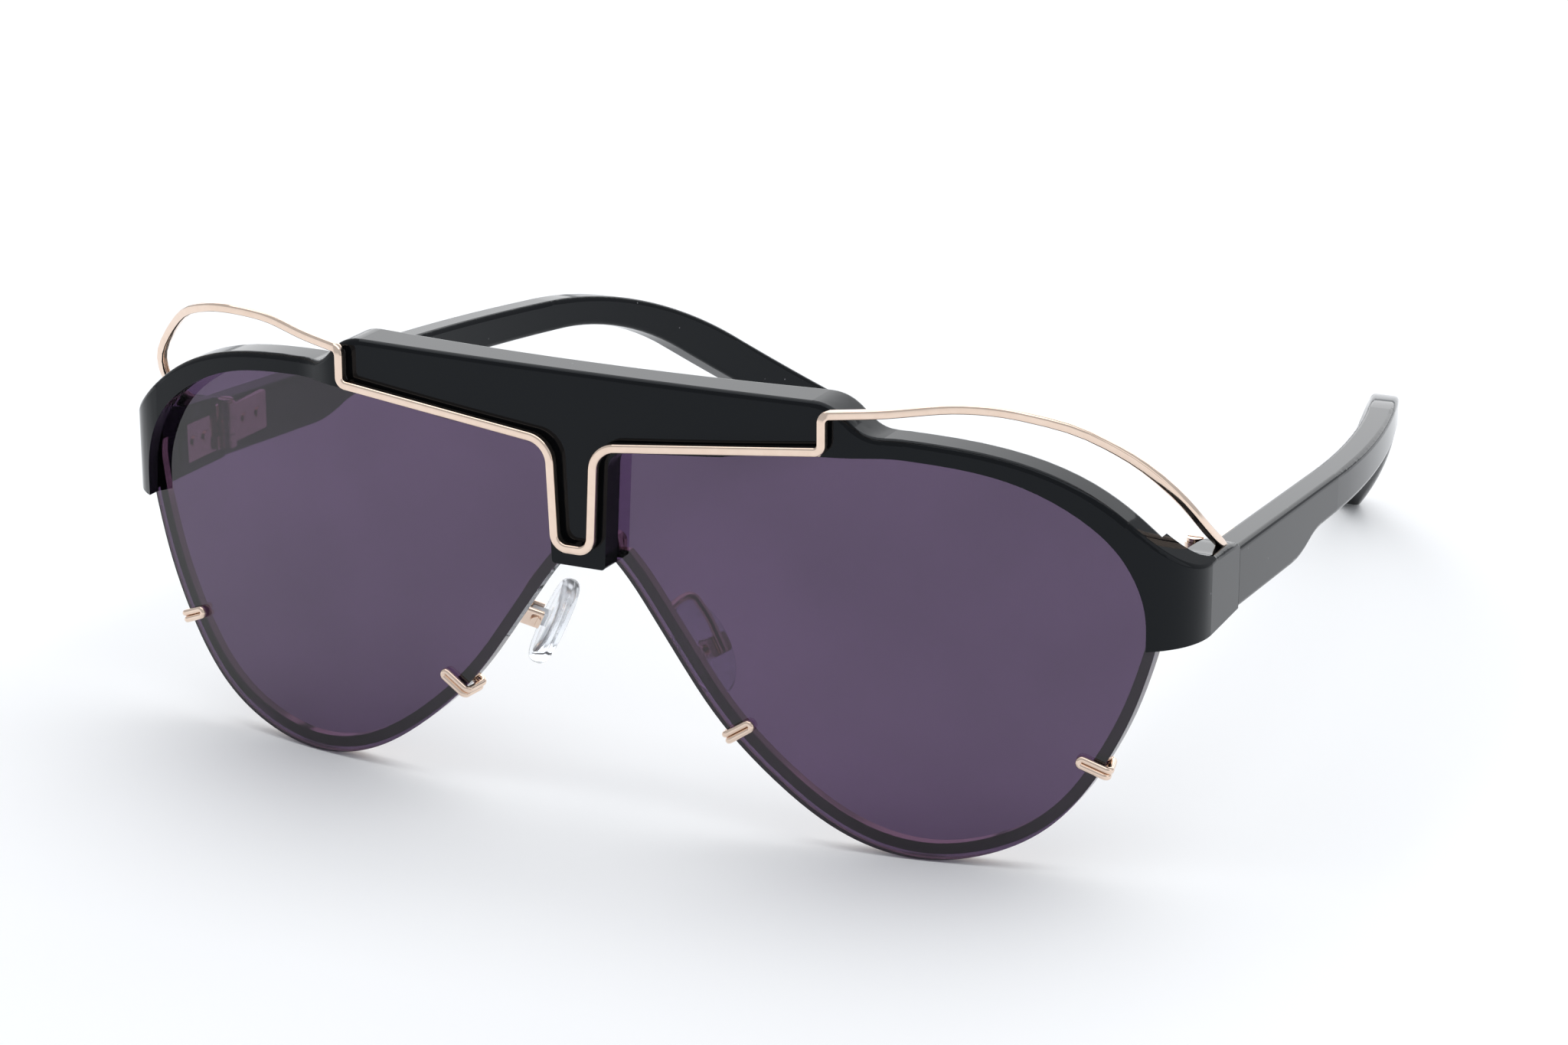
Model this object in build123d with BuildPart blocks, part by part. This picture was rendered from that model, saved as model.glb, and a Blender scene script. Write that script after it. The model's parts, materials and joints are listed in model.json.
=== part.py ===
from build123d import *
from math import cos, radians, sin, tan
import os

# Half-rim aviator sunglasses, standing open on the lens bottoms and the temple tips.
# Millimetres. X runs across the face, Y from the front to the temple tips, +Z is up.
# The origin is on the ground, on the centre plane, halfway between front and tips.
# Every side piece is drawn on the +X side, the wearer's left, and mirrored for the right.

# ---------------------------------------------------------------- driving dimensions
FRONT_Y = -81.5          # front face of the bridge stem on the centre plane
HIGH = 80.0              # extrusion length that clears the whole object

LENS_RADIUS = 253.5      # lenses and rims bend about an upright axis behind the face
LENS_THICK = 1.8
LENS_SETBACK = 3.2       # lens front face behind the stem's front face
LENS_PLAY = 0.04         # clearance between a lens and its seat

SIDE_X = 73.6            # outer side of the end pieces, half the overall width
ARM_INNER_X = 69.2       # inner side of the end pieces
JOINT_Y = FRONT_Y + 30.2  # where a temple meets its end piece
JOINT_GAP = 0.15
FRAME_BACK = 5.1         # back face of the frame behind the stem's front face

CROWN_ROUND = 0.7        # rounding along the frame's top edges
BAR_TOP_Z = 57.2
BAR_HALF = 33.2          # half the length of the raised brow bar
STEM_HALF = 3.6          # half the width of the stem at its foot
STEM_FOOT_Z = 32.8
RIM_FOOT_Z = 29.2        # the half rims end here

RIM_WIRE_WIDE = 1.4      # metal rim behind each lens
RIM_WIRE_DEEP = 1.2
RIM_WIRE_INSET = 0.3

WIRE_D = 1.2             # trim wire
WIRE_STANDOFF = 1.17     # wire centre in front of the face

CLAW_WIRE_D = 0.84
CLAW_PITCH = 0.86        # the two wires of a claw lie side by side
CLAW_REACH = 3.1         # from the lens edge to the end of the hairpin

HINGE_X = 67.9
HINGE_Y = FRONT_Y + 28.8
HINGE_BARREL_R = 1.25
HINGE_PIN_R = 0.6
HINGE_PIN_PLAY = 0.04
HINGE_Z = (31.2, 33.1, 35.3, 37.3)  # knuckle boundaries, bottom to top
KNUCKLE_GAP = 0.1
LEAF_THICK = 0.7
LEAF_Z = 33.6
LEAF_HALF_HIGH = 2.6

TEMPLE_THICK = 3.9
TEMPLE_EDGE = 0.7        # rounding along the temple's long edges
CORE_WIDE = 2.0          # metal core inside each temple
CORE_THICK = 0.9

PAD_CENTRE = Vector(10.6, FRONT_Y + 12.9, 20.2)
PAD_LEAN = 27.0          # degrees that the pads spread apart towards their lower ends
PAD_SPLAY = 30.0         # degrees that the pads turn to face backwards
PAD_LONG = 12.6
PAD_WIDE = 7.0
PAD_THICK = 2.4
PAD_ARM_D = 1.0
PAD_SCREW_R = 0.4
BOSS_LONG = 1.7          # block on the back of a pad that the screw goes through
BOSS_WIDE = 1.4

RIM_WIRE_FRONT = 1.92    # front face of the metal rim behind the lens front face
RIM_WIRE_TOP_Z = 36.0
STRAP_THICK = 0.8        # strap that ties the two metal rims behind the stem
BRIDGE_SCREW_R = 0.6
BRIDGE_SCREW_LONG = 4.6

WIRE_END = Vector(71.85, FRONT_Y + 29.0, 35.9)  # trim wire's end inside the end piece
BAR_CORNER_X = 32.45
PIN_R = 0.45             # anchor pins of the trim wire
PIN_LONG = 3.3

LEAF_INNER_X = 68.45
TEMPLE_LEAF_OUTER_X = 69.35
RIVET_R = 0.45
FRONT_RIVET_Y = (FRONT_Y + 22.2, FRONT_Y + 24.8)
TEMPLE_RIVET_Y = (FRONT_Y + 34.0, FRONT_Y + 37.2)

os.makedirs("parts", exist_ok=True)


# ---------------------------------------------------------------- shared helpers
def save(part, name):
    part.label = name
    export_step(part, f"parts/{name}.step")


def save_pair(part, name):
    """Write the piece for the wearer's left and its mirror image for the right."""
    save(part, f"{name}_left")
    with BuildPart() as twin:
        mirror(part, about=Plane.YZ)
    save(twin.part, f"{name}_right")


def hinge_rivet_holes(places):
    """Round holes through a hinge leaf into the plastic behind it."""
    with BuildPart() as holes:
        for y in places:
            with Locations(Plane((ARM_INNER_X - 1.4, y, LEAF_Z), z_dir=(1, 0, 0))):
                Cylinder(RIVET_R + 0.02, 3.6, align=(Align.CENTER, Align.CENTER, Align.MIN))
    return holes


def hinge_rivets(places, leaf_x):
    """Two headed rivets that hold a hinge leaf to the plastic."""
    with BuildPart() as rivets:
        for y in places:
            with Locations(Plane((leaf_x, y, LEAF_Z), z_dir=(1, 0, 0))):
                Cylinder(RIVET_R, 2.8, align=(Align.CENTER, Align.CENTER, Align.MIN))
                Cylinder(0.75, 0.25, align=(Align.CENTER, Align.CENTER, Align.MAX))
    return rivets


def lens_y(x, behind=0.0):
    """Y of the surface that lies this far behind the front face of the lenses."""
    radius = LENS_RADIUS - behind
    return FRONT_Y + LENS_SETBACK + LENS_RADIUS - (radius**2 - x**2) ** 0.5


def curved_layer(front, back):
    """Upright layer of space between two depths measured from the lens front face."""
    with BuildPart() as layer:
        with BuildSketch(Plane.XY.offset(-1)):
            with Locations((0, FRONT_Y + LENS_SETBACK + LENS_RADIUS)):
                Circle(LENS_RADIUS - front)
                Circle(LENS_RADIUS - back, mode=Mode.SUBTRACT)
        extrude(amount=HIGH)
    return layer.part


def moved_in(curve, inset, count):
    """Points along a curve of the lens outline, moved towards the lens's middle."""
    points = []
    for step in range(count + 1):
        along = curve % (step / count)
        points.append(curve @ (step / count) + Vector(along.Y, -along.X) * inset)
    return points


def lens_outline(inset=0.0):
    """Outline of one lens seen from the front, moved in by the inset."""
    with BuildLine():
        brow = Spline(
            (1.6, 49.6), (19.5, 50.6), (33.0, 52.0), (45.8, 51.6), (56.9, 49.0),
            (64.8, 44.3), (69.4, 37.8), (70.0, 33.0),
        )
        cheek = Spline(
            brow @ 1, (69.3, 29.0), (67.6, 22.8), (63.9, 14.2), (57.0, 5.2),
            (49.8, 1.3), (41.9, 0.0), (33.4, 1.9), (24.4, 7.6), (17.0, 14.6),
            (10.4, 23.6), (5.2, 31.0), (3.4, 32.9),
            tangents=((-0.05, -1), (-0.75, 0.66)),
        )
    with BuildLine() as outline:
        upper = Spline(*moved_in(brow, inset, 14))
        lower = Spline(upper @ 1, *moved_in(cheek, inset, 24)[1:])
        Polyline(lower @ 1, (1.6 + inset, (lower @ 1).Y), upper @ 0)
    return outline.line


# ---------------------------------------------------------------- lenses
with BuildPart() as lens:
    with BuildSketch(Plane.XZ):
        make_face(lens_outline().edges())
    extrude(amount=HIGH + 20)
    add(curved_layer(0, LENS_THICK), mode=Mode.INTERSECT)
save_pair(lens.part, "lens")

with BuildPart() as lens_seat:
    with BuildSketch(Plane.XZ):
        make_face(lens_outline(-LENS_PLAY).edges())
    extrude(amount=HIGH + 20)
    add(curved_layer(-LENS_PLAY, RIM_WIRE_FRONT + RIM_WIRE_DEEP + LENS_PLAY), mode=Mode.INTERSECT)



# ---------------------------------------------------------------- front frame
def frame_plan():
    """Half of the frame seen from above: brow bar, half rim, corner and end piece."""
    with BuildLine() as plan:
        bar = ThreePointArc((0, FRONT_Y), (16.6, FRONT_Y + 0.23), (BAR_HALF, FRONT_Y + 0.91))
        scoop = Spline(
            bar @ 1, (41.0, FRONT_Y + 3.6), tangents=((1, 0.055), (1, 0.18))
        )
        rim = ThreePointArc(
            scoop @ 1, (54.0, FRONT_Y + 6.37), (66.3, FRONT_Y + 9.59)
        )
        corner = TangentArc(rim @ 1, (SIDE_X, FRONT_Y + 19.4), tangent=rim % 1)
        Polyline(
            corner @ 1,
            (SIDE_X - 0.45, JOINT_Y - JOINT_GAP),
            (ARM_INNER_X, JOINT_Y - JOINT_GAP),
            (ARM_INNER_X, lens_y(ARM_INNER_X) + FRAME_BACK - LENS_SETBACK),
        )
        back = ThreePointArc(
            (ARM_INNER_X, lens_y(ARM_INNER_X) + FRAME_BACK - LENS_SETBACK),
            (34.6, lens_y(34.6) + FRAME_BACK - LENS_SETBACK),
            (0, FRONT_Y + FRAME_BACK),
        )
        Line(back @ 1, bar @ 0)
    return plan.line


def frame_face():
    """Half of the frame seen from the front: T-shaped bar and stem, and the half rim."""
    with BuildLine() as face:
        top = Line((0, BAR_TOP_Z), (30.4, BAR_TOP_Z))
        step = Spline(
            top @ 1, (34.4, 55.6), (38.6, 53.1), tangents=((1, 0), (1, -0.05))
        )
        rim = Spline(
            step @ 1, (45.2, 52.7), (54.6, 51.1), (61.9, 48.1), (66.3, 45.0), (70.4, 41.2),
            (76.0, 36.0), tangents=((1, -0.03), (1, -0.9)),
        )
        Polyline(rim @ 1, (76.0, RIM_FOOT_Z), (68.8, RIM_FOOT_Z))
        inner = Spline(
            (68.8, RIM_FOOT_Z), (68.6, 34.0), (66.2, 40.2), (60.7, 45.4), (52.2, 49.2),
            (45.8, 50.3), (38.0, 50.8), (32.6, 50.7), (19.5, 49.2), (8.2, 48.1),
            tangents=((0, 1), (-1, -0.09)),
        )
        Polyline(
            inner @ 1, (4.3, 47.8), (STEM_HALF, STEM_FOOT_Z), (0, STEM_FOOT_Z), top @ 0
        )
    return face.line


with BuildPart() as front_frame:
    with BuildSketch(Plane.XZ):
        make_face(frame_face().edges())
        stem_corner = vertices().sort_by_distance((4.3, 47.8))[0]
        fillet(stem_corner, 2.4)
        stem_foot = vertices().sort_by_distance((STEM_HALF, STEM_FOOT_Z))[0]
        fillet(stem_foot, 0.5)
    extrude(amount=HIGH + 20)
    with BuildSketch(Plane.XY):
        make_face(frame_plan().edges())
    extrude(amount=HIGH, mode=Mode.INTERSECT)
    with BuildSketch(Plane.YZ):
        with BuildLine():
            valley = Spline(
                (FRONT_Y + 13.7, 50.0), (FRONT_Y + 15.2, 42.9), (FRONT_Y + 18.0, 39.6),
                (FRONT_Y + 21.8, 38.5), (JOINT_Y + 1, 36.8),
            )
            Polyline(
                valley @ 1, (JOINT_Y + 1, HIGH), (FRONT_Y + 13.7, HIGH), valley @ 0
            )
        make_face()
    extrude(amount=HIGH, mode=Mode.SUBTRACT)
    front_faces = faces().filter_by(lambda f: f.normal_at().Y < -0.4)
    side_faces = faces().filter_by(lambda f: f.normal_at().X > 0.6)
    crown_faces = faces().filter_by(lambda f: f.normal_at().Z > 0.3)
    back_faces = faces().filter_by(lambda f: f.normal_at().Y > 0.4)
    outside_crown = front_faces.edges() + side_faces.edges() + back_faces.edges()
    fillet(outside_crown & crown_faces.edges(), CROWN_ROUND)
    add(lens_seat.part, mode=Mode.SUBTRACT)
    add(hinge_rivet_holes(FRONT_RIVET_Y).part, mode=Mode.SUBTRACT)
    mirror(about=Plane.YZ)
    with Locations(Plane((0, FRONT_Y + FRAME_BACK, RIM_WIRE_TOP_Z - 1.4), z_dir=(0, 1, 0))):
        Cylinder(BRIDGE_SCREW_R, 5.6, mode=Mode.SUBTRACT)
    for pin_x, pin_z in ((0, 35.4), (BAR_CORNER_X - 0.5, 51.5), (0.5 - BAR_CORNER_X, 51.5)):
        with Locations(Plane((pin_x, FRONT_Y, pin_z), z_dir=(0, 1, 0))):
            Cylinder(PIN_R, 6.4, mode=Mode.SUBTRACT)
save(front_frame.part, "front_frame")


# ---------------------------------------------------------------- metal rims behind the lenses
with BuildPart() as rear_rim:
    with BuildSketch(Plane.XZ):
        make_face(lens_outline(RIM_WIRE_INSET).edges())
        make_face(lens_outline(RIM_WIRE_INSET + RIM_WIRE_WIDE).edges(), mode=Mode.SUBTRACT)
        with Locations((40, RIM_WIRE_TOP_Z + 20)):
            Rectangle(HIGH, 40, mode=Mode.SUBTRACT)
    extrude(amount=HIGH + 20)
    add(curved_layer(RIM_WIRE_FRONT, RIM_WIRE_FRONT + RIM_WIRE_DEEP), mode=Mode.INTERSECT)
save_pair(rear_rim.part, "rear_rim")

strap_y = lens_y(0, RIM_WIRE_FRONT + RIM_WIRE_DEEP)
with BuildPart() as rear_bridge:
    with Locations((0, strap_y + STRAP_THICK / 2, RIM_WIRE_TOP_Z - 1.4)):
        Box(6.6, STRAP_THICK, 2.6)
        fillet(edges().filter_by(Axis.Y), 1.1)
    with Locations((0, strap_y - RIM_WIRE_DEEP / 2, RIM_WIRE_TOP_Z - 1.4)):
        Box(2.6, RIM_WIRE_DEEP, 2.2)
    with Locations(Plane((0, strap_y, RIM_WIRE_TOP_Z - 1.4), z_dir=(0, -1, 0))):
        Hole(BRIDGE_SCREW_R + 0.02)
save(rear_bridge.part, "rear_bridge")

with BuildPart() as bridge_screw:
    with Locations(Plane((0, strap_y + STRAP_THICK, RIM_WIRE_TOP_Z - 1.4), z_dir=(0, -1, 0))):
        Cylinder(BRIDGE_SCREW_R, BRIDGE_SCREW_LONG, align=(Align.CENTER, Align.CENTER, Align.MIN))
        Cylinder(1.0, 0.4, align=(Align.CENTER, Align.CENTER, Align.MAX))
    with Locations((0, strap_y + STRAP_THICK + 0.4, RIM_WIRE_TOP_Z - 1.4)):
        Box(0.3, 0.4, 2.2, mode=Mode.SUBTRACT)
save(bridge_screw.part, "bridge_screw")


# ---------------------------------------------------------------- trim wire
def widest_radii(points, limits):
    """A radius for each inner point: as wide as its runs allow, or the stated limit."""
    radii = []
    for before, here, after, limit in zip(points, points[1:], points[2:], limits):
        into, out = here - before, after - here
        half_turn = radians(into.get_angle(out)) / 2
        widest = 0.45 * min(into.length, out.length) / tan(half_turn)
        radii.append(min(widest, limit))
    return radii


def round_wire(points, limits, diameter):
    """A round wire along straight runs joined by tangent bends."""
    points = [Vector(*point) for point in points]
    with BuildPart() as wire:
        with BuildLine() as route:
            FilletPolyline(*points, radius=widest_radii(points, limits))
        with BuildSketch(Plane(origin=route.line @ 0, z_dir=route.line % 0)):
            Circle(diameter / 2)
        sweep(path=route.line)
    return wire.part


face_y = FRONT_Y - WIRE_STANDOFF
half_wire = round_wire(
    [
        (0, face_y, 35.4),
        (2.4, face_y, 35.4),
        (3.0, face_y, 48.5),
        (BAR_CORNER_X, face_y + 0.87, 51.7),
        (BAR_CORNER_X, face_y + 0.87, 56.1),
        (39.0, FRONT_Y + 2.2, 56.4),
        (46.5, FRONT_Y + 5.2, 57.3),
        (53.0, FRONT_Y + 4.9, 57.8),
        (60.6, FRONT_Y + 9.0, 55.6),
        (66.2, FRONT_Y + 13.6, 51.2),
        (70.3, FRONT_Y + 16.7, 46.6),
        (72.3, FRONT_Y + 21.0, 41.5),
        (72.1, FRONT_Y + 26.4, 38.2),
        tuple(WIRE_END),
    ],
    [1.7, 3.2, 0.95, 0.95] + [60] * 8,
    WIRE_D,
)
with BuildPart() as trim_wire:
    add(half_wire)
    mirror(about=Plane.YZ)
save(trim_wire.part, "trim_wire")

with BuildPart() as trim_wire_pins:
    for pin_x, pin_z in ((0, 35.4), (BAR_CORNER_X - 0.5, 51.5), (0.5 - BAR_CORNER_X, 51.5)):
        drop = 0.87 if pin_x else 0
        with Locations(Plane((pin_x, face_y + drop, pin_z), z_dir=(0, 1, 0))):
            Cylinder(PIN_R, PIN_LONG, align=(Align.CENTER, Align.CENTER, Align.MIN))
save(trim_wire_pins.part, "trim_wire_pins")


# ---------------------------------------------------------------- lens claws
def lens_claw(edge_x, edge_z, slope):
    """A hairpin of two wires side by side, hooked from the metal rim round the lens edge."""
    ground = Vector(edge_x, lens_y(edge_x), edge_z)
    lean = edge_x / LENS_RADIUS
    front = Vector(lean, -((1 - lean**2) ** 0.5), 0)
    across = Vector(-front.Y, front.X, 0)
    out = across * cos(radians(slope)) * (1 if edge_x > 40 else -1) + Vector(0, 0, -sin(radians(slope)))
    beside = front.cross(out)
    stand = CLAW_WIRE_D / 2 + 0.03
    rear = LENS_THICK + 0.1 + RIM_WIRE_DEEP + CLAW_WIRE_D / 2 - 0.1
    legs = [(-1.1, -rear), (0.75, -rear), (0.75, stand), (-CLAW_REACH, stand)]
    half = CLAW_PITCH / 2
    path = [ground + out * a + front * b + beside * half for a, b in legs]
    path += [ground + out * a + front * b - beside * half for a, b in reversed(legs)]
    return round_wire(path, [0.6, 0.6, half - 0.004, half - 0.004, 0.6, 0.6], CLAW_WIRE_D)


save_pair(lens_claw(63.72, 13.37, 22), "lens_claw_outer")
save_pair(lens_claw(18.6, 13.0, 33), "lens_claw_inner")


# ---------------------------------------------------------------- nose pads
pad_down = Vector(sin(radians(PAD_LEAN)), 0, -cos(radians(PAD_LEAN)))
pad_inward = Vector(-cos(radians(PAD_LEAN)), 0, -sin(radians(PAD_LEAN)))
pad_face = pad_inward * cos(radians(PAD_SPLAY)) + Vector(0, 1, 0) * sin(radians(PAD_SPLAY))
pad_axis = PAD_CENTRE - pad_face * (PAD_THICK / 2 + 1.3)
pad_plane = Plane(origin=PAD_CENTRE, x_dir=pad_down, z_dir=pad_face)
box_plane = Plane(origin=pad_axis, x_dir=pad_down, z_dir=pad_face)

with BuildPart() as nose_pad:
    with BuildSketch(pad_plane.offset(-PAD_THICK / 2)):
        Ellipse(PAD_LONG / 2, PAD_WIDE / 2)
    extrude(amount=PAD_THICK)
    fillet(edges(), PAD_THICK * 0.42)
    with Locations(pad_plane.offset(-PAD_THICK / 2)):
        Box(BOSS_LONG + 0.04, BOSS_WIDE + 0.04, 1.0, mode=Mode.SUBTRACT)
save_pair(nose_pad.part, "nose_pad")

with BuildPart() as nose_pad_boss:
    with BuildSketch(box_plane.offset(-0.75)):
        Rectangle(BOSS_LONG, BOSS_WIDE)
    extrude(amount=0.75 + 1.3 + 0.48)
    fillet(edges().filter_by(lambda e: e.center().sub(pad_axis).dot(pad_face) < -0.7), 0.3)
    with Locations(Plane(origin=pad_axis, x_dir=pad_down, z_dir=box_plane.y_dir)):
        Hole(PAD_SCREW_R + 0.04)
save_pair(nose_pad_boss.part, "nose_pad_boss")

with BuildPart() as pad_box:
    with BuildSketch(box_plane.offset(-1.65)):
        RectangleRounded(2.5, 2.9, 0.5)
    extrude(amount=2.4)
    with BuildSketch(box_plane.offset(-1.15)):
        Rectangle(4, BOSS_WIDE + 0.2)
    extrude(amount=3, mode=Mode.SUBTRACT)
    with Locations(Plane(origin=pad_axis, x_dir=pad_down, z_dir=box_plane.y_dir)):
        Hole(PAD_SCREW_R + 0.02)
save_pair(pad_box.part, "pad_box")

with BuildPart() as pad_screw:
    with Locations(Plane(origin=pad_axis, x_dir=pad_down, z_dir=box_plane.y_dir)):
        Cylinder(PAD_SCREW_R, 3.0)
        with Locations((0, 0, 1.47)):
            Cylinder(0.7, 0.4, align=(Align.CENTER, Align.CENTER, Align.MIN))
        with Locations((0, 0, 1.87)):
            Box(1.6, 0.2, 0.4, mode=Mode.SUBTRACT)
save_pair(pad_screw.part, "pad_screw")

arm_back = pad_axis - pad_face * (1.65 + PAD_ARM_D / 2 - 0.1)
arm_end = arm_back + pad_down * 1.0
arm_turn = arm_back - pad_down * 3.6
pad_arm = round_wire(
    [
        (9.3, FRONT_Y + 6.3, 27.0),
        (9.4, FRONT_Y + 8.6, 27.5),
        (10.4, FRONT_Y + 10.4, 28.0),
        tuple(arm_turn),
        tuple(arm_end),
    ],
    [9, 9, 9],
    PAD_ARM_D,
)
save_pair(pad_arm, "pad_arm")


# ---------------------------------------------------------------- hinges
def knuckle(low, high, radius):
    """A round barrel about the hinge axis between two heights."""
    with BuildPart() as barrel:
        with BuildSketch(Plane.XY.offset(low)):
            with Locations((HINGE_X, HINGE_Y)):
                Circle(radius)
        extrude(amount=high - low)
    return barrel.part


def leaf(front, back, inner, outer):
    """The flat leaf of a hinge, upright along Y."""
    with BuildPart() as plate:
        with Locations(((inner + outer) / 2, (front + back) / 2, LEAF_Z)):
            Box(outer - inner, back - front, 2 * LEAF_HALF_HIGH)
    return plate.part


def knuckle_web(low, high, front, back, outer):
    """Joins a barrel to its leaf."""
    with BuildPart() as web:
        with Locations(((HINGE_X + outer) / 2, (front + back) / 2, (low + high) / 2)):
            Box(outer - HINGE_X, back - front, high - low)
    return web.part


with BuildPart() as front_hinge:
    add(leaf(FRONT_Y + 20.6, HINGE_Y, LEAF_INNER_X, ARM_INNER_X - 0.02))
    for low, high in ((HINGE_Z[0], HINGE_Z[1] - KNUCKLE_GAP), (HINGE_Z[2] + KNUCKLE_GAP, HINGE_Z[3])):
        add(knuckle(low, high, HINGE_BARREL_R))
        add(knuckle_web(low, high, HINGE_Y - 2.2, HINGE_Y, ARM_INNER_X - 0.02))
    add(
        knuckle(HINGE_Z[1] - KNUCKLE_GAP, HINGE_Z[2] + KNUCKLE_GAP, HINGE_BARREL_R + 0.15),
        mode=Mode.SUBTRACT,
    )
    add(knuckle(0, HIGH, HINGE_PIN_R + 0.02), mode=Mode.SUBTRACT)
    add(hinge_rivet_holes(FRONT_RIVET_Y).part, mode=Mode.SUBTRACT)
save_pair(front_hinge.part, "front_hinge")

with BuildPart() as temple_hinge:
    add(leaf(HINGE_Y, FRONT_Y + 39.0, LEAF_INNER_X - 0.1, TEMPLE_LEAF_OUTER_X))
    add(knuckle(HINGE_Z[1], HINGE_Z[2], HINGE_BARREL_R))
    for low, high in ((0, HINGE_Z[1]), (HINGE_Z[2], HIGH)):
        add(knuckle(low, high, HINGE_BARREL_R + 0.15), mode=Mode.SUBTRACT)
    with Locations((TEMPLE_LEAF_OUTER_X, JOINT_Y - 3, LEAF_Z)):
        Box(1.0, 6, HIGH, align=(Align.CENTER, Align.CENTER, Align.CENTER), mode=Mode.SUBTRACT)
    add(knuckle(HINGE_Z[1], HINGE_Z[2], HINGE_BARREL_R))
    add(knuckle(0, HIGH, HINGE_PIN_R + HINGE_PIN_PLAY), mode=Mode.SUBTRACT)
    add(hinge_rivet_holes(TEMPLE_RIVET_Y).part, mode=Mode.SUBTRACT)
save_pair(temple_hinge.part, "temple_hinge")

with BuildPart() as hinge_screw:
    add(knuckle(HINGE_Z[0] + 0.2, HINGE_Z[3] + 0.03, HINGE_PIN_R))
    add(knuckle(HINGE_Z[3] + 0.03, HINGE_Z[3] + 0.5, 1.0))
    with Locations((HINGE_X, HINGE_Y, HINGE_Z[3] + 0.5)):
        Box(2.2, 0.3, 0.5, mode=Mode.SUBTRACT)
save_pair(hinge_screw.part, "hinge_screw")

save_pair(hinge_rivets(FRONT_RIVET_Y, LEAF_INNER_X).part, "front_hinge_rivets")
save_pair(hinge_rivets(TEMPLE_RIVET_Y, LEAF_INNER_X - 0.1).part, "temple_hinge_rivets")


# ---------------------------------------------------------------- temples
def temple_plan(width, front):
    """Strip of constant width seen from above: straight, then curving in behind the ear."""
    middle = SIDE_X - 0.45 - TEMPLE_THICK / 2
    with BuildLine() as centre:
        straight = Line((middle, front), (middle - 1.15, FRONT_Y + 70))
        TangentArc(straight @ 1, (39.0, FRONT_Y + 170), tangent=straight % 1)
    with BuildSketch() as strip:
        trace(centre.line, width)
    return strip.sketch


with BuildPart() as temple_core:
    with BuildSketch(Plane.YZ):
        with BuildLine() as core_line:
            level = Line((FRONT_Y + 41, 32.6), (FRONT_Y + 96, 30.4))
            bend = Spline(
                level @ 1, (FRONT_Y + 127, 25.8), (FRONT_Y + 142, 17.7),
                tangents=(level % 1, (1, -0.73)),
            )
            Line(bend @ 1, (FRONT_Y + 156, 7.5))
        trace(core_line.line, CORE_WIDE)
    extrude(amount=HIGH)
    extrude(temple_plan(CORE_THICK, FRONT_Y + 40), amount=HIGH, mode=Mode.INTERSECT)
save_pair(temple_core.part, "temple_core")

with BuildPart() as temple:
    with BuildSketch(Plane.YZ):
        with BuildLine():
            crown = FilletPolyline(
                (JOINT_Y, 36.95), (FRONT_Y + 129.0, 30.7), (FRONT_Y + 164.5, 4.9), radius=70
            )
            tip = ThreePointArc(crown @ 1, (FRONT_Y + 164.7, 1.5), (FRONT_Y + 161.7, 0.0))
            under = FilletPolyline(
                tip @ 1, (FRONT_Y + 124.0, 26.6), (FRONT_Y + 61.5, 29.5),
                (FRONT_Y + 54.5, 27.7), (JOINT_Y, 29.1), radius=[45, 18, 18],
            )
            Line(under @ 1, crown @ 0)
        make_face()
    extrude(amount=HIGH)
    extrude(temple_plan(TEMPLE_THICK, JOINT_Y - 1), amount=HIGH, mode=Mode.INTERSECT)
    long_edges = edges().filter_by(lambda e: abs((e % 0.5).X) < 0.9 and abs((e % 0.5).Z) < 0.999)
    fillet(long_edges, TEMPLE_EDGE)
    add(temple_core.part, mode=Mode.SUBTRACT)
    add(hinge_rivet_holes(TEMPLE_RIVET_Y).part, mode=Mode.SUBTRACT)
    add(leaf(FRONT_Y + 30, FRONT_Y + 39.02, LEAF_INNER_X - 0.2, TEMPLE_LEAF_OUTER_X + 0.02), mode=Mode.SUBTRACT)
save_pair(temple.part, "temple")
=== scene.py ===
import json
import math

import bpy
from mathutils import Matrix, Vector


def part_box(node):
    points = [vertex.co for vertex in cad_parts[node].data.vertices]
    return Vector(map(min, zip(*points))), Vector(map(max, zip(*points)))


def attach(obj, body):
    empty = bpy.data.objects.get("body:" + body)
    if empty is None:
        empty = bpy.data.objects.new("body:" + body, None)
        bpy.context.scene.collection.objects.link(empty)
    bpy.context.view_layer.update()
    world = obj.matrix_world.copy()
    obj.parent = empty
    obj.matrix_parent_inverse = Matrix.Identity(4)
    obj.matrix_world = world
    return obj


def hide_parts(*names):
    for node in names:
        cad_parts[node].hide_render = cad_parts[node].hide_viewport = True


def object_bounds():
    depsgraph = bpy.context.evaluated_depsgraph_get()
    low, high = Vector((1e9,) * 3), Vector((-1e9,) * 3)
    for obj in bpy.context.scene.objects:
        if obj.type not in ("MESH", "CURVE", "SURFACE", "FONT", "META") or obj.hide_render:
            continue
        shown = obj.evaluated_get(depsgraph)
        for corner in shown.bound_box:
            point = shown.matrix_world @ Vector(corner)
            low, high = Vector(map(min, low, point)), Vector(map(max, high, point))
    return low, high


MM = 0.001
SPECK_SPACING = 1.6 * MM
SPECK_SHARE = 0.22          # share of the cells that hold a dust speck

WIRE_SIDE = 1.12            # square trim wire, in mm like the rest of its route
WIRE_CORNER = 0.3
CAD_WIRE_RADIUS = 0.6
WIRE_STANDOFF = 1.17        # from the plastic's front face to the middle of the wire
ARCH_BEND = 60              # widest bend of the arch, with eight corners to round

FLOOR_HALF = 4.0
FLOOR_DROP = 0.2 * MM       # keeps the floor clear of the lowest point
WORLD_STRENGTH = 0.60
CAMERA_PLACE = (0.2306, -0.5024, 0.1953)
CAMERA_DIRECTION = (-0.4131, 0.8559, -0.3111)
CAMERA_LENS = 96.68

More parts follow.
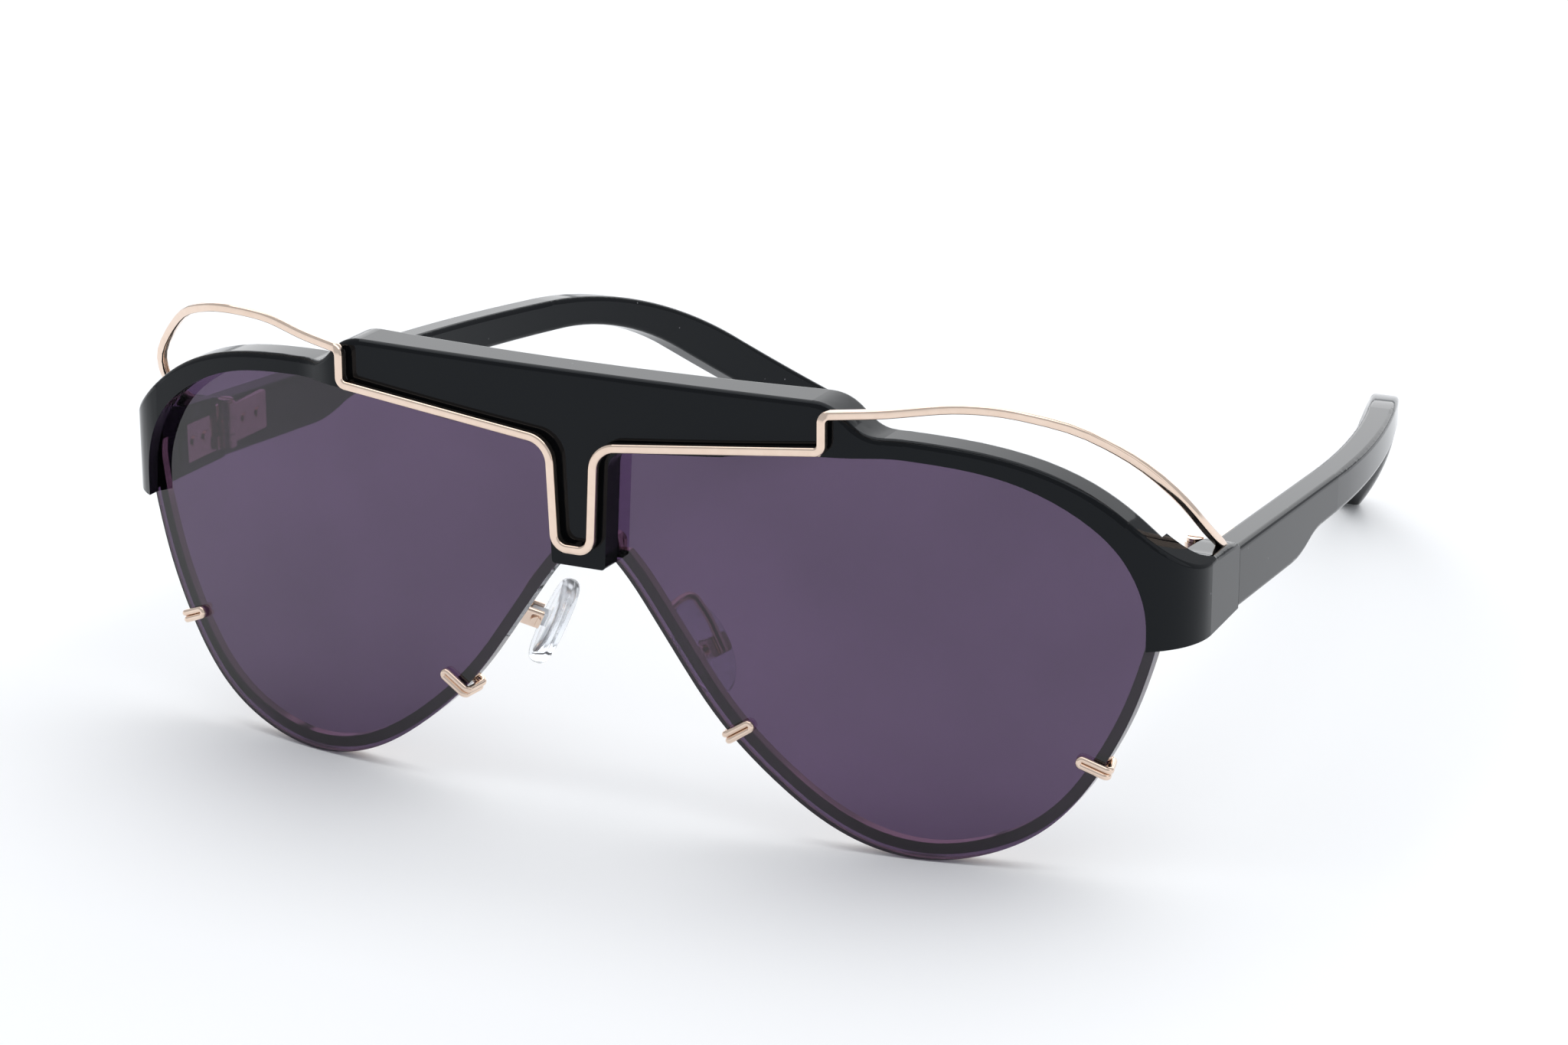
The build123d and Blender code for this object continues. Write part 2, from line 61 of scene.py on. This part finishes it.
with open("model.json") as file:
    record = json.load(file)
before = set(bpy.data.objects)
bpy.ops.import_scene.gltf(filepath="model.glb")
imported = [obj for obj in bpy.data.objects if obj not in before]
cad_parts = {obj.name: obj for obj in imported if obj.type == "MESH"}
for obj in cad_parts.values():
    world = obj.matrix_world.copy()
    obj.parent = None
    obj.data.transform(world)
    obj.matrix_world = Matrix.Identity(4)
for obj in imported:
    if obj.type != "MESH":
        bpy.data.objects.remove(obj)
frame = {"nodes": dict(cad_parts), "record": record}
nodes = frame["nodes"]
cad_low, cad_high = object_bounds()
scene = bpy.context.scene


# ---------------------------------------------------------------- materials
def new_material(name, **sockets):
    """A Principled material with constant sockets; returns it with its tree and shader."""
    mat = bpy.data.materials.new(name)
    mat.use_nodes = True
    shader = mat.node_tree.nodes["Principled BSDF"]
    for socket, value in sockets.items():
        shader.inputs[socket.replace("_", " ")].default_value = value
    return mat, mat.node_tree, shader


def add_node(tree, kind, **values):
    """Adds a node, setting its attributes or its inputs by name."""
    made = tree.nodes.new(kind)
    for key, value in values.items():
        if hasattr(made, key):
            setattr(made, key, value)
        else:
            made.inputs[key.replace("_", " ")].default_value = value
    return made


def object_noise(tree, scale, detail=2.0, stretch=(1, 1, 1)):
    """Noise over the object's own coordinates, in metres; returns its factor socket."""
    coords = add_node(tree, "ShaderNodeTexCoord")
    mapping = add_node(tree, "ShaderNodeMapping", Scale=stretch)
    noise = add_node(tree, "ShaderNodeTexNoise", Scale=scale, Detail=detail)
    tree.links.new(coords.outputs["Object"], mapping.inputs["Vector"])
    tree.links.new(mapping.outputs["Vector"], noise.inputs["Vector"])
    return noise.outputs["Fac"]


def mapped(tree, source, low, high, out_low, out_high):
    """A value remapped from one range to another, clamped."""
    remap = add_node(tree, "ShaderNodeMapRange")
    tree.links.new(source, remap.inputs["Value"])
    for socket, value in zip(("From Min", "From Max", "To Min", "To Max"), (low, high, out_low, out_high)):
        remap.inputs[socket].default_value = value
    return remap.outputs["Result"]


def two_colours(tree, factor, first, second, target):
    """Mixes two colours by a factor into a socket."""
    mix = add_node(tree, "ShaderNodeMix", data_type="RGBA")
    tree.links.new(factor, mix.inputs[0])
    mix.inputs[6].default_value = first
    mix.inputs[7].default_value = second
    tree.links.new(mix.outputs[2], target)


def dust_specks(tree, size, share):
    """Sparse round specks: 1 on a speck, 0 elsewhere."""
    coords = add_node(tree, "ShaderNodeTexCoord")
    cells = add_node(tree, "ShaderNodeTexVoronoi", Scale=1 / size, Randomness=1.0)
    tree.links.new(coords.outputs["Object"], cells.inputs["Vector"])
    near = mapped(tree, cells.outputs["Distance"], 0.04, 0.09, 1, 0)
    chosen = mapped(tree, cells.outputs["Color"], 1 - share - 0.02, 1 - share, 0, 1)
    both = add_node(tree, "ShaderNodeMath", operation="MULTIPLY")
    tree.links.new(near, both.inputs[0])
    tree.links.new(chosen, both.inputs[1])
    return both.outputs["Value"]


def black_plastic():
    mat, tree, shader = new_material(
        "black_plastic", Specular_IOR_Level=0.19, Specular_Tint=(0.86, 0.93, 1.0, 1)
    )
    specks = dust_specks(tree, SPECK_SPACING, SPECK_SHARE)
    two_colours(tree, specks, (0.0035, 0.0038, 0.0045, 1), (0.16, 0.16, 0.17, 1), shader.inputs["Base Color"])
    streaks = object_noise(tree, 260, 3, (1, 0.15, 1))
    tree.links.new(mapped(tree, streaks, 0.35, 0.75, 0.035, 0.10), shader.inputs["Roughness"])
    return mat


def gold_metal():
    mat, tree, shader = new_material("gold_metal", Metallic=1.0)
    patches = object_noise(tree, 900, 2)
    two_colours(tree, patches, (0.80, 0.62, 0.50, 1), (0.90, 0.73, 0.61, 1), shader.inputs["Base Color"])
    tree.links.new(mapped(tree, patches, 0.3, 0.7, 0.07, 0.15), shader.inputs["Roughness"])
    return mat


def tinted_lens():
    mat, tree, shader = new_material("tinted_lens", Transmission_Weight=1.0, IOR=1.52)
    cloud = object_noise(tree, 34, 3)
    two_colours(tree, cloud, (0.050, 0.029, 0.066, 1), (0.100, 0.057, 0.128, 1), shader.inputs["Base Color"])
    smear = object_noise(tree, 120, 4, (1, 1, 0.4))
    tree.links.new(mapped(tree, smear, 0.4, 0.8, 0.0, 0.06), shader.inputs["Roughness"])
    return mat


def clear_silicone():
    mat, tree, shader = new_material("clear_silicone", Transmission_Weight=0.95, IOR=1.41)
    cloud = object_noise(tree, 300, 2)
    two_colours(tree, cloud, (0.90, 0.94, 1.0, 1), (0.97, 0.98, 1.0, 1), shader.inputs["Base Color"])
    tree.links.new(mapped(tree, cloud, 0.3, 0.8, 0.04, 0.14), shader.inputs["Roughness"])
    return mat


def hard_clear():
    mat, tree, shader = new_material("pad_boss", Transmission_Weight=0.6, IOR=1.49)
    cloud = object_noise(tree, 500, 2)
    two_colours(tree, cloud, (0.80, 0.83, 0.88, 1), (0.9, 0.92, 0.95, 1), shader.inputs["Base Color"])
    tree.links.new(mapped(tree, cloud, 0.3, 0.8, 0.1, 0.25), shader.inputs["Roughness"])
    return mat


def steel_core():
    mat, tree, shader = new_material("steel_core", Metallic=1.0)
    grain = object_noise(tree, 1500, 2, (1, 0.1, 1))
    two_colours(tree, grain, (0.5, 0.5, 0.5, 1), (0.65, 0.65, 0.66, 1), shader.inputs["Base Color"])
    tree.links.new(mapped(tree, grain, 0.3, 0.8, 0.25, 0.45), shader.inputs["Roughness"])
    return mat


def pale_floor():
    mat, tree, shader = new_material("pale_floor", Roughness=0.9)
    cloud = object_noise(tree, 3, 2)
    two_colours(tree, cloud, (0.95, 0.955, 0.965, 1), (0.97, 0.973, 0.98, 1), shader.inputs["Base Color"])
    return mat


MATERIALS = {
    "black_plastic": black_plastic(),
    "gold_metal": gold_metal(),
    "tinted_lens": tinted_lens(),
    "clear_silicone": clear_silicone(),
    "pad_boss": hard_clear(),
    "steel_core": steel_core(),
}
for part in frame["record"]["subparts"]:
    for material_slot in nodes[part["node"]].material_slots:
        material_slot.material = MATERIALS[part["material_slot"]]


# ---------------------------------------------------------------- pieces made in code
def make_piece(name, vertices, faces, material_name):
    """A new smooth-shaded mesh object with one of the record's materials."""
    mesh = bpy.data.meshes.new(name)
    mesh.from_pydata([tuple(v) for v in vertices], [], faces)
    mesh.polygons.foreach_set("use_smooth", [True] * len(mesh.polygons))
    mesh.materials.append(MATERIALS[material_name])
    mesh.update()
    made = bpy.data.objects.new(name, mesh)
    scene.collection.objects.link(made)
    return made


def rounded_route(points, limits, step_deg=6):
    """Straight runs joined by arcs, each as wide as its runs allow or the stated limit."""
    route = [points[0]]
    for before, here, after, limit in zip(points, points[1:], points[2:], limits):
        into, out = here - before, after - here
        half_turn = into.angle(out) / 2
        radius = min(0.45 * min(into.length, out.length) / math.tan(half_turn), limit)
        trim = radius * math.tan(half_turn)
        start, end = here - into.normalized() * trim, here + out.normalized() * trim
        centre = here + ((start + end) / 2 - here).normalized() * (radius / math.cos(half_turn))
        steps = max(3, round(math.degrees(2 * half_turn) / step_deg))
        axis = into.cross(out).normalized()
        for step in range(steps + 1):
            turn = Matrix.Rotation(2 * half_turn * step / steps, 3, axis)
            route.append(centre + turn @ (start - centre))
    route.append(points[-1])
    return route


def rounded_square(side, corner, per_corner=5):
    """Section of a square wire with rounded corners, counter-clockwise."""
    section = []
    inner = side / 2 - corner
    for quarter in range(4):
        turn = quarter * math.pi / 2
        middle = Vector((math.cos(turn) - math.sin(turn), math.sin(turn) + math.cos(turn))) * inner
        for step in range(per_corner + 1):
            angle = turn + math.pi / 2 * step / per_corner
            section.append(middle + Vector((math.cos(angle), math.sin(angle))) * corner)
    return section


def swept_wire(name, route, section, facing, material_name):
    """Sweeps a section along a route, keeping its second axis towards the facing direction."""
    vertices, faces = [], []
    for i, point in enumerate(route):
        before, after = route[max(i - 1, 0)], route[min(i + 1, len(route) - 1)]
        along = (after - before).normalized()
        up = (facing - along * facing.dot(along)).normalized()
        side = up.cross(along)
        # a mitred ring keeps its width where the route turns
        bend = 1.0
        if 0 < i < len(route) - 1:
            bend = 1 / math.cos((point - before).angle(after - point) / 2)
        turn_out = ((before - point).normalized() + (after - point).normalized())
        for x, y in section:
            offset = side * x + up * y
            if turn_out.length > 1e-6:
                across = turn_out.normalized()
                offset += across * offset.dot(across) * (bend - 1)
            vertices.append(point + offset)
    count = len(section)
    for i in range(len(route) - 1):
        for j in range(count):
            k = (j + 1) % count
            faces.append((i * count + j, i * count + k, (i + 1) * count + k, (i + 1) * count + j))
    faces.append(tuple(reversed(range(count))))
    faces.append(tuple(range((len(route) - 1) * count, len(route) * count)))
    return make_piece(name, vertices, faces, material_name)


wire_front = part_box("trim_wire")[0][1] / MM + CAD_WIRE_RADIUS
front_face = wire_front + WIRE_STANDOFF
half_route = [
    (2.4, wire_front, 35.4),
    (3.0, wire_front, 48.5),
    (32.45, wire_front + 0.87, 51.7),
    (32.45, wire_front + 0.87, 56.1),
    (39.0, front_face + 2.2, 56.4),
    (46.5, front_face + 5.2, 57.3),
    (53.0, front_face + 4.9, 57.8),
    (60.6, front_face + 9.0, 55.6),
    (66.2, front_face + 13.6, 51.2),
    (70.3, front_face + 16.7, 46.6),
    (72.3, front_face + 21.0, 41.5),
    (72.1, front_face + 26.4, 38.2),
    (71.85, front_face + 29.0, 35.9),
]
left_half = [Vector(p) * MM for p in half_route]
right_half = [Vector((-x, y, z)) * MM for x, y, z in reversed(half_route)]
bends = [3.2, 0.95, 0.95] + [ARCH_BEND] * 8
wire_bends = [bend * MM for bend in bends[::-1] + [1.7, 1.7] + bends]
wire_route = rounded_route(right_half + left_half, wire_bends)
trim = swept_wire("trim_wire_square", wire_route, rounded_square(WIRE_SIDE * MM, WIRE_CORNER * MM),
                  Vector((0, -1, 0)), "gold_metal")
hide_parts("trim_wire")
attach(trim, "front")


# ---------------------------------------------------------------- stage, light, camera
floor_mesh = bpy.data.meshes.new("floor")
floor_mesh.from_pydata(
    [(-FLOOR_HALF, -FLOOR_HALF, 0), (FLOOR_HALF, -FLOOR_HALF, 0), (FLOOR_HALF, FLOOR_HALF, 0),
     (-FLOOR_HALF, FLOOR_HALF, 0)], [], [(0, 1, 2, 3)])
floor_mesh.materials.append(pale_floor())
floor = bpy.data.objects.new("floor", floor_mesh)
floor.location.z = cad_low[2] - FLOOR_DROP
scene.collection.objects.link(floor)


def softbox(name, place, target, width, height, watts, colour=(1, 1, 1)):
    """A rectangular area light aimed at a point."""
    data = bpy.data.lights.new(name, "AREA")
    data.shape = "RECTANGLE"
    data.size, data.size_y = width, height
    data.energy = watts
    data.color = colour
    lamp = bpy.data.objects.new(name, data)
    lamp.location = place
    lamp.rotation_euler = (Vector(target) - Vector(place)).to_track_quat("-Z", "Y").to_euler()
    scene.collection.objects.link(lamp)


softbox("overhead", (0.0, 0.1, 1.1), (0, 0, 0), 1.6, 1.4, 9)
softbox("behind", (-0.5, 1.5, 0.55), (0, 0, 0.05), 2.2, 1.0, 8)
softbox("side", (1.3, 0.2, 0.5), (0, 0, 0.04), 0.9, 0.8, 1.2)

world = bpy.data.worlds.new("studio")
world.use_nodes = True
world.node_tree.nodes["Background"].inputs["Color"].default_value = (0.93, 0.96, 1.0, 1)
world.node_tree.nodes["Background"].inputs["Strength"].default_value = WORLD_STRENGTH
scene.world = world
scene.view_settings.view_transform = "Standard"

camera_data = bpy.data.cameras.new("camera")
camera_data.sensor_width = 36
camera_data.lens = CAMERA_LENS
camera = bpy.data.objects.new("camera", camera_data)
camera.location = CAMERA_PLACE
camera.rotation_euler = Vector(CAMERA_DIRECTION).to_track_quat("-Z", "Y").to_euler()
scene.collection.objects.link(camera)
scene.camera = camera
